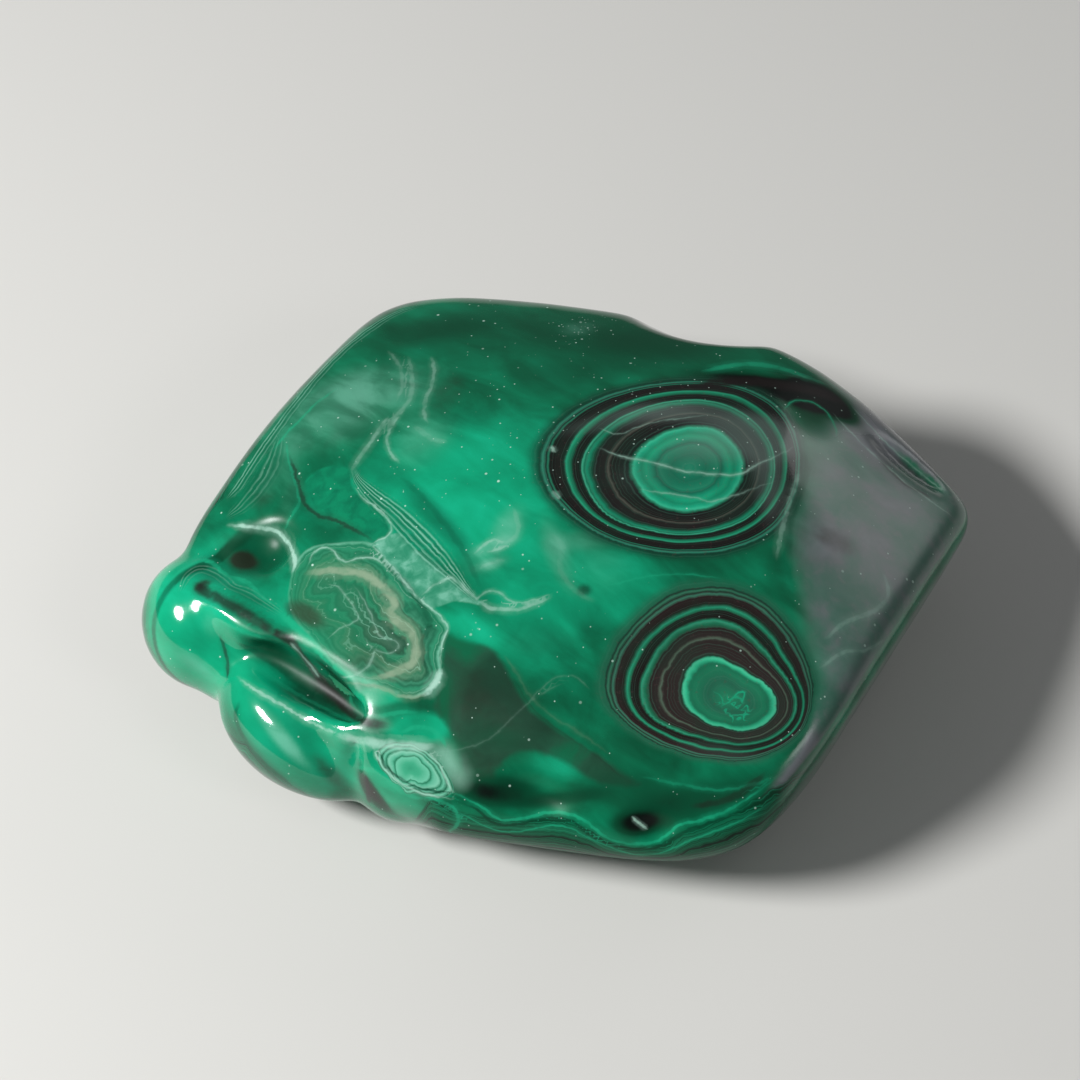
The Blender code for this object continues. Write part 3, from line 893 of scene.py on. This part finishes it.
FIRST_EYE_RINGS = (
    (0.0, "187A5C"), (0.30, "12654C"), (0.50, "1A7A5C"), (0.56, "126049"), (0.66, "128C69"),
    (0.72, "159870"), (0.80, "0F8562"), (0.88, "189C76"), (0.93, "34B38B"), (0.97, "0E6E50"),
    (1.03, "161A18"), (1.42, BROWN_BLACK), (1.47, "4A4A42"), (1.52, "201C1B"), (1.76, "1B1918"),
    (1.84, "0E4E38"), (1.92, "178261"), (2.00, "10694C"), (2.08, "3AA07D"), (2.16, "0A2A1E"),
    (2.30, "141310"), (2.60, "141310"), (2.70, "0D5A40"), (2.84, "127856"), (2.96, "25946F"),
    (3.04, "0B2C20"), (3.20, "1A1514"), (3.62, "120F0E"), (3.70, "1A6B50"), (3.77, "121D18"),
    (3.90, "2C7A61"), (4.0, "0B3325"),
)
SECOND_EYE_RINGS = (
    (0.0, "1C7A57"), (0.45, "226049"), (0.72, "1C7453"), (0.84, "176A4C"), (0.92, "2FAE82"),
    (0.98, "45C497"), (1.04, "1C3A2C"), (1.12, "2B2422"), (1.48, "2A2120"), (1.53, "4C5A4C"),
    (1.60, "2A2422"), (1.80, "241C1B"), (1.90, "196548"), (2.0, "2A8A69"), (2.08, "175A41"),
    (2.18, "16120F"), (2.68, "181311"), (2.80, "166A4B"), (2.93, "258C69"), (3.05, "124A35"),
    (3.16, "1E1413"), (3.50, "261819"), (3.62, "37705A"), (3.70, "1C1917"), (3.84, "2B6A50"),
    (3.92, "16271F"), (4.0, "1E5A42"),
)
LENS_BANDS = (
    (0.0, "2F8E6B"), (0.45, "3C9C78"), (0.9, "62B394"), (1.0, "1F6F50"), (1.12, "4FA384"),
    (1.3, "71B79B"), (1.42, "1E6E50"), (1.55, "5FAE90"), (1.68, "155C41"), (1.8, "6AB597"),
    (1.92, "0F5238"), (2.0, "3A9A77"),
)
SIDE_BANDS = (
    (0.30, BLACK_GREEN), (0.38, DARK_GREEN), (0.43, DEEP_GREEN), (0.455, "0B6647"), (0.475, DEEP_GREEN),
    (0.50, "084A32"), (0.52, "107755"), (0.545, DEEP_GREEN), (0.58, DARK_GREEN), (0.61, "127052"),
    (0.64, DEEP_GREEN), (0.70, BLACK_GREEN),
)


def make_malachite():
    """Polished malachite: banded copper green under a clear, glassy hand polish."""
    material = bpy.data.materials.new("polished_malachite")
    material.use_nodes = True
    write = NodeWriter(material)
    place = write.node("ShaderNodeTexCoord").outputs["Object"]
    metric = write.node("ShaderNodeVectorMath", {"operation": "SCALE"})
    write.feed(metric.inputs[0], place)
    metric.inputs["Scale"].default_value = 1.0 / MM
    place = metric.outputs[0]
    cloud = write.noise(place, 9.0, 4.0, 0.6)
    fine = write.noise(place, 1.6, 4.0, 0.4)
    grain = write.noise(place, 0.35, 3.0)
    colour = ground_colour(write, place, cloud, fine)
    colour = side_colour(write, colour, cloud, fine)
    colour = area_colour(write, place, colour, fine)
    colour = lens_colour(write, colour, fine)
    colour = bundle_colour(write, colour, fine)
    colour = eye_colour(write, colour, cloud, fine, grain)
    colour = stroke_colour(write, place, colour, fine)
    colour, dust = speck_colour(write, place, colour, fine)
    finish_surface(write, place, colour, dust, fine, grain)
    return material


def shifted(write, name, uneven, amount):
    """A field with its edges made uneven by noise."""
    return write.math("MULTIPLY_ADD", write.math("SUBTRACT", uneven, 0.5), amount, write.field(name))


def lay(write, colour, over, name, uneven, amount, low, high, most=1.0):
    """Lays a colour over another where a field is high, with an uneven, soft edge."""
    share = write.remap(shifted(write, name, uneven, amount), low, high, 0.0, most)
    return write.mix(share, colour, over)


def ground_colour(write, place, cloud, fine):
    """The green between the markings, from lively to deep, with brown and milky clouds, painted shade and
    highlights among them, and a grey painted reflection on the face at the pointed end.
    """
    flow = write.node("ShaderNodeMapping", {"vector_type": "TEXTURE"}, Vector=place)
    flow.inputs["Rotation"].default_value = (0.0, 0.0, math.radians(-42.0))
    flow.inputs["Scale"].default_value = (2.6, 1.0, 1.0)
    streak = write.noise(flow.outputs[0], 3.4, 5.0, 0.5)
    mixed = write.math("MULTIPLY_ADD", streak, 0.45, write.math("MULTIPLY", cloud, 0.55))
    colour = write.ramp(mixed, ((0.34, "024A30"), (0.45, "035A3C"), (0.56, "046C4A"), (0.68, "067C58")))
    glow = write.ramp(mixed, ((0.34, "05805B"), (0.5, "08956C"), (0.66, "10A67D")))
    colour = lay(write, colour, glow, "bright", streak, 0.35, 0.15, 0.95)
    # A grey painted reflection on the face at the pointed end.
    colour = right_face_reflection_colour(write, place, colour, cloud, fine)
    pane = write.ramp(cloud, ((0.38, "1A3125"), (0.5, "1F4231"), (0.62, "0C5437")))
    colour = lay(write, colour, pane, "brown_pane", fine, 0.5, -0.3, 0.5, 0.85)
    # Deep green markings, with painted shade on the back slope, in the hollows, in the mouth and along the
    # lobes' lower edges.
    colour = lay(write, colour, DEEP_GREEN, "deep", cloud, 0.5, 0.1, 0.95)
    colour = lay(write, colour, BLACK_GREEN, "deep", fine, 0.3, 0.85, 1.6)
    # Dark brown markings, with a painted shadow beside the tongue lobe and painted shade in the crease
    # below it.
    colour = lay(write, colour, DARK_BROWN, "brown", fine, 0.5, 0.15, 1.2, 0.85)
    # Milky clouds, partly painted highlights on the tongue lobe and above the lens.
    haze_and_highlights = write.math("MULTIPLY", write.field("pale"), write.remap(streak, 0.35, 0.65, 0.6, 1.15))
    return write.mix(write.remap(haze_and_highlights, 0.0, 1.2, 0.0, 0.6), colour, PALE_GREEN)


def right_face_reflection_colour(write, place, colour, cloud, fine):
    """The face at the pointed end: a greyish lilac painted reflection of a softbox, in clouds over its
    green, with a soft border.
    """
    wide = write.noise(place, 9.0, 4.0, 0.4)
    hue = write.ramp(wide, ((0.38, "73777C"), (0.47, "646C6D"), (0.56, "4F6C62"), (0.66, "3A6656")))
    hue = write.mix(write.remap(fine, 0.45, 0.75, 0.0, 0.3), hue, "7A7179")
    return lay(write, colour, hue, "right_face", cloud, 1.4, -0.9, 1.1, 0.95)


def side_colour(write, colour, cloud, fine):
    """Layers seen edge-on round the sides, and cut at a slant across the underside."""
    warp = write.math("MULTIPLY_ADD", cloud, 3.5, write.math("MULTIPLY", fine, 0.6))
    depth = write.math("ADD", write.field("edge_depth"), warp)
    layers = write.ramp(write.stripe(depth, 0.75, 2.0), SIDE_BANDS)
    lines = write.remap(write.stripe(depth, 2.2, 1.0), 0.58, 0.66)
    layers = write.mix(write.math("MULTIPLY", lines, 0.55), layers, "1A7A58")
    hair = write.remap(write.stripe(depth, 6.0, 1.0), 0.60, 0.68)
    layers = write.mix(write.math("MULTIPLY", hair, 0.3), layers, "0F6A4A")
    edge = write.math("MULTIPLY_ADD", fine, 0.8, write.field("edge_depth"))
    return write.mix(write.remap(edge, 0.2, 0.9), colour, layers)


AGATE_BANDS = (
    (0.0, "7DB59E"), (0.02, "5FA488"), (0.05, "1F6A4D"), (0.1, "2C7F5E"), (0.14, "1D5F45"),
    (0.18, "33795C"), (0.22, "22583F"), (0.27, "3F7559"), (0.31, "2B6A4C"), (0.36, "4A7458"),
    (0.4, "2A5F45"), (0.45, "1B6647"), (0.5, "2F7858"), (0.54, "234D39"), (0.6, "365C48"),
    (0.66, "285842"), (0.74, "3F5B48"), (0.82, "294837"), (0.92, "395643"), (1.0, "304D3B"),
)


def area_colour(write, place, colour, fine):
    """Areas with edges of their own: a clear cell, a milky panel, the agate and a milky patch that is
    partly a painted highlight.
    """
    cell = write.ramp(fine, ((0.35, "036043"), (0.6, "057551")))
    colour = lay(write, colour, cell, "clear_cell", fine, 0.3, -0.1, 0.3, 0.9)
    panel = write.ramp(fine, ((0.35, "2C7D5F"), (0.5, "458F73"), (0.65, "69A991")))
    colour = lay(write, colour, panel, "pale_panel", fine, 0.2, -0.05, 0.25, 0.9)
    wavy = write.math("SUBTRACT", write.noise(place, 6.0, 4.0, 0.8), 0.5)
    inside = write.math("MULTIPLY_ADD", write.math("SUBTRACT", fine, 0.5), 0.9, write.field("agate"))
    inside = write.math("MULTIPLY_ADD", wavy, write.remap(write.field("agate"), 0.0, 2.5, 0.3, 7.0), inside)
    agate = write.ramp(write.math("DIVIDE", inside, AGATE_DEPTH), AGATE_BANDS)
    hair = write.remap(write.stripe(inside, 2.6, 2.0), 0.60, 0.70)
    agate = write.mix(write.math("MULTIPLY", hair, 0.45), agate, "7FB39B")
    agate = write.mix(write.remap(write.field("bright"), 0.1, 0.6, 0.0, 0.6), agate, "14734F")
    agate = write.mix(write.remap(write.field("brown"), 0.2, 1.3, 0.0, 0.75), agate, "2E3527")
    colour = lay(write, colour, agate, "agate", fine, 0.3, -0.1, 0.3)
    return lay(write, colour, "86B5A0", "milky", fine, 0.6, -1.0, 1.4, 0.5)


def lens_colour(write, colour, fine):
    """The lens: milky bands inside its outline."""
    value = shifted(write, "lens", fine, 0.25)
    bands = write.ramp(write.math("DIVIDE", value, 2.0), ring_stops(LENS_BANDS, 2.0))
    return write.mix(write.remap(value, 2.02, 1.94), colour, bands)


def bundle_colour(write, colour, fine):
    """Bands of fine pale lines on darker green, some lines fainter than others."""
    count = shifted(write, "bundle", fine, 0.7)
    wave = write.math("COSINE", write.math("MULTIPLY", count, 2 * math.pi))
    faint = write.remap(write.stripe(count, 0.9), 0.4, 0.6, 0.3, 1.0)
    lines = write.math("MULTIPLY", write.remap(wave, -0.4, 1.0), faint)
    shade = write.mix(lines, "075A3E", "79B09A")
    strength = write.math("MULTIPLY", write.field("bundle_shows"), write.remap(fine, 0.3, 0.55, 0.6, 1.0))
    return write.mix(strength, colour, shade)


def eye_colour(write, colour, cloud, fine, grain):
    """The two eyes: a green core in dark rings, with fine rings within them, and a faint grey painted
    reflection over them.
    """
    eyes = (("first_eye", FIRST_EYE_RINGS, 0.10), ("second_eye", SECOND_EYE_RINGS, 0.16))
    for name, rings, wobble in eyes:
        value = shifted(write, name, fine, wobble)
        ring = write.ramp(write.math("DIVIDE", value, 4.0), ring_stops(rings, 4.0))
        hair = write.stripe(value, 14.0, 2.0)
        ring = write.mix(write.remap(hair, 0.5, 0.7, 0.0, 0.3), ring, write.mix(0.5, ring, "4F7F6C"))
        flecks = write.remap(grain, 0.60, 0.72, 0.0, 0.3)
        ring = write.mix(flecks, ring, write.mix(0.6, ring, "5A3B3C"))
        ring = write.mix(write.remap(cloud, 0.42, 0.62, 0.0, 0.45), ring, write.mix(0.5, ring, "0A3A2A"))
        colour = write.mix(write.remap(value, 4.35, 3.95), colour, ring)
    # A faint grey painted reflection laid over the eyes.
    return write.mix(write.remap(write.field("painted_reflection"), 0.1, 1.0, 0.0, 0.32), colour, "7C8F88")


# The single lines: which field, its colour, how far it wanders (mm), and how solid it stays.
# The deep, dark and pale lines carry painted shade, painted highlights and glints as well as real veins.
STROKE_COLOURS = (
    ("deep_green_and_shade_strokes", "023A26", 0.55, 0.6),
    ("beige_strokes", "849A80", 0.65, 0.6),
    ("mint_strokes", "189C73", 0.45, 0.5),
    ("dark_seams_and_crease_shade", "1B1716", 0.45, 0.8),
    ("pale_veins_and_highlights", "9FC7B6", 0.50, 0.35),
)


def stroke_colour(write, place, colour, fine):
    """Single veins and seams, with painted highlights, glints and crease shade among them: sharp in the
    middle, a little broken along their length.
    """
    sway = write.math("SUBTRACT", write.noise(place, 1.1, 2.0), 0.5)
    for name, hue, wander, solid in STROKE_COLOURS:
        stored = write.node("ShaderNodeAttribute", {"attribute_name": name})
        parts = write.node("ShaderNodeSeparateColor", Color=stored.outputs["Color"])
        turn = write.math("ARCTAN2", parts.outputs[1], parts.outputs[0])
        drift = write.math("MULTIPLY", sway, wander)
        across = write.math("MULTIPLY_ADD", turn, STROKE_REACH / math.pi, drift)
        share = write.math("DIVIDE", write.math("ABSOLUTE", across), parts.outputs[2])
        core = write.remap(share, 1.5, 0.3)
        halo = write.remap(share, 3.2, 0.5, 0.0, 0.3)
        strength = write.math("MULTIPLY", write.math("MAXIMUM", core, halo), stored.outputs["Alpha"])
        broken = write.remap(fine, 0.25, 0.6, solid, 1.0)
        colour = write.mix(write.math("MULTIPLY", strength, broken), colour, hue)
    return colour


def speck_colour(write, place, colour, fine):
    """Tiny pale specks of several sizes, thick in a few places and rare elsewhere."""
    dust = 0.0
    for per_mm, share in ((2.6, 0.025), (1.5, 0.015)):
        cells = write.node("ShaderNodeTexVoronoi", {"feature": "F1"}, Vector=place, Scale=per_mm)
        picked = write.node("ShaderNodeSeparateColor", Color=cells.outputs["Color"])
        size = write.math("MULTIPLY_ADD", picked.outputs[1], 0.16, 0.10)
        dot = write.remap(write.math("DIVIDE", cells.outputs["Distance"], size), 1.3, 0.6)
        rare = write.math("SUBTRACT", 1.0 - share, write.math("MULTIPLY", write.field("speckle"), 0.4))
        shows = write.math("MULTIPLY", dot, write.math("GREATER_THAN", picked.outputs[0], rare))
        faint = write.math("MULTIPLY", shows, write.math("MULTIPLY_ADD", picked.outputs[2], 0.6, 0.2))
        dust = write.math("MAXIMUM", dust, faint)
    return write.mix(dust, colour, WHITE_GREEN), dust


def finish_surface(write, place, colour, dust, fine, grain):
    """The polish: a smooth glassy surface, duller where the polish didn't reach, and on specks."""
    shader = write.tree.nodes["Principled BSDF"]
    rough = write.math("MULTIPLY_ADD", fine, 0.06, 0.07)
    rough = write.math("ADD", rough, write.remap(write.field("worn"), 0.1, 0.9, 0.0, 0.28))
    rough = write.math("MULTIPLY_ADD", dust, 0.3, rough)
    rough = write.math("ADD", rough, write.remap(write.field("right_face"), -1.0, 1.0, 0.0, 0.16))
    ripple = write.node("ShaderNodeBump", Height=write.math("MULTIPLY_ADD", grain, 0.25, fine))
    ripple.inputs["Strength"].default_value = 0.05
    ripple.inputs["Distance"].default_value = 0.1 * MM
    write.feed(shader.inputs["Base Color"], colour)
    write.feed(shader.inputs["Roughness"], rough)
    write.feed(shader.inputs["Specular IOR Level"], write.remap(write.field("worn"), 0.1, 0.9, 0.5, 0.12))
    write.feed(shader.inputs["Normal"], ripple.outputs["Normal"])
    shader.inputs["IOR"].default_value = 1.55


def make_floor_paint():
    """Matt pale paint, with faint clouds in it."""
    material = bpy.data.materials.new("pale_floor_paint")
    material.use_nodes = True
    write = NodeWriter(material)
    shader = material.node_tree.nodes["Principled BSDF"]
    place = write.node("ShaderNodeTexCoord").outputs["Object"]
    cloud = write.node("ShaderNodeTexNoise", Vector=place, Scale=9.0, Detail=3.0).outputs["Fac"]
    shade = write.mix(write.math("MULTIPLY", cloud, 0.06), "CFCECA", "B9B8B4")
    write.feed(shader.inputs["Base Color"], shade)
    shader.inputs["Roughness"].default_value = 0.55
    return material


def add_softbox(name, place, size, watts):
    """A soft oval light at a place (mm), facing the stone."""
    light = bpy.data.lights.new(name, "AREA")
    light.shape = "ELLIPSE"
    light.size, light.size_y = size[0] * MM, size[1] * MM
    light.energy = watts
    lamp = bpy.data.objects.new(name, light)
    lamp.location = Vector(place) * MM
    sight = Vector(place) - Vector(LIGHT_TARGET)
    lamp.rotation_euler = sight.to_track_quat("Z", "Y").to_euler()
    bpy.context.scene.collection.objects.link(lamp)


class MALACHITE_OT_build_stone(bpy.types.Operator):
    """Build the polished stone over its solid"""

    bl_idname = "malachite.build_stone"
    bl_label = "Build Stone"

    def execute(self, context):
        settings = context.scene.malachite_stone
        stone = make_skin(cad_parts["malachite"], settings)
        mesh = stone.data
        faces = [p.vertices[:] for p in mesh.polygons]
        cast = MarkCaster(points_of(mesh), faces, context.scene.malachite_stage)
        carve(mesh, cast, settings)
        mark_skin(mesh, cast)
        mesh.shade_smooth()
        mesh.materials.clear()
        mesh.materials.append(make_malachite())
        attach(stone, "root")
        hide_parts("malachite")
        return {"FINISHED"}


class MALACHITE_OT_build_stage(bpy.types.Operator):
    """Lay the pale floor, and set the softboxes and the camera"""

    bl_idname = "malachite.build_stage"
    bl_label = "Build Stage"

    def execute(self, context):
        add_floor()
        add_lights(context)
        add_camera(context)
        return {"FINISHED"}


def add_floor():
    bpy.ops.mesh.primitive_plane_add(size=FLOOR_SIZE)
    floor = bpy.context.object
    floor.name = "floor"
    floor.data.materials.append(make_floor_paint())


def add_lights(context):
    for softbox in SOFTBOXES:
        add_softbox(*softbox)
    world = context.scene.world or bpy.data.worlds.new("soft_world")
    context.scene.world = world
    world.use_nodes = True
    background = world.node_tree.nodes["Background"]
    background.inputs["Color"].default_value = ROOM_LIGHT
    background.inputs["Strength"].default_value = ROOM_STRENGTH
    context.scene.view_settings.view_transform = "Standard"


def add_camera(context):
    settings = context.scene.malachite_stage
    place, _, _, back = camera_place(settings)
    view = bpy.data.cameras.new("camera")
    view.lens = settings.lens
    view.sensor_width = SENSOR_WIDTH
    camera = bpy.data.objects.new("camera", view)
    camera.location = place
    camera.rotation_euler = back.to_track_quat("Z", "Y").to_euler()
    context.scene.collection.objects.link(camera)
    context.scene.camera = camera


class MALACHITE_PT_panel(bpy.types.Panel):
    bl_label = "Malachite"
    bl_space_type = "VIEW_3D"
    bl_region_type = "UI"
    bl_category = "Malachite"

    def draw(self, context):
        layout = self.layout
        stone = context.scene.malachite_stone
        stage = context.scene.malachite_stage
        layout.prop(stone, "skin_cell")
        layout.prop(stone, "polish_passes")
        layout.prop(stone, "waviness")
        layout.operator(MALACHITE_OT_build_stone.bl_idname)
        layout.prop(stage, "elevation")
        layout.prop(stage, "distance")
        layout.prop(stage, "lens")
        layout.operator(MALACHITE_OT_build_stage.bl_idname)


CLASSES = (
    StoneSettings,
    StageSettings,
    MALACHITE_OT_build_stone,
    MALACHITE_OT_build_stage,
    MALACHITE_PT_panel,
)


def register():
    for made in CLASSES:
        bpy.utils.register_class(made)
    bpy.types.Scene.malachite_stone = PointerProperty(type=StoneSettings)
    bpy.types.Scene.malachite_stage = PointerProperty(type=StageSettings)


def unregister():
    del bpy.types.Scene.malachite_stage
    del bpy.types.Scene.malachite_stone
    for made in reversed(CLASSES):
        bpy.utils.unregister_class(made)


def main():
    register()
    bpy.ops.malachite.build_stone()
    bpy.ops.malachite.build_stage()


if __name__ == "__main__":
    main()
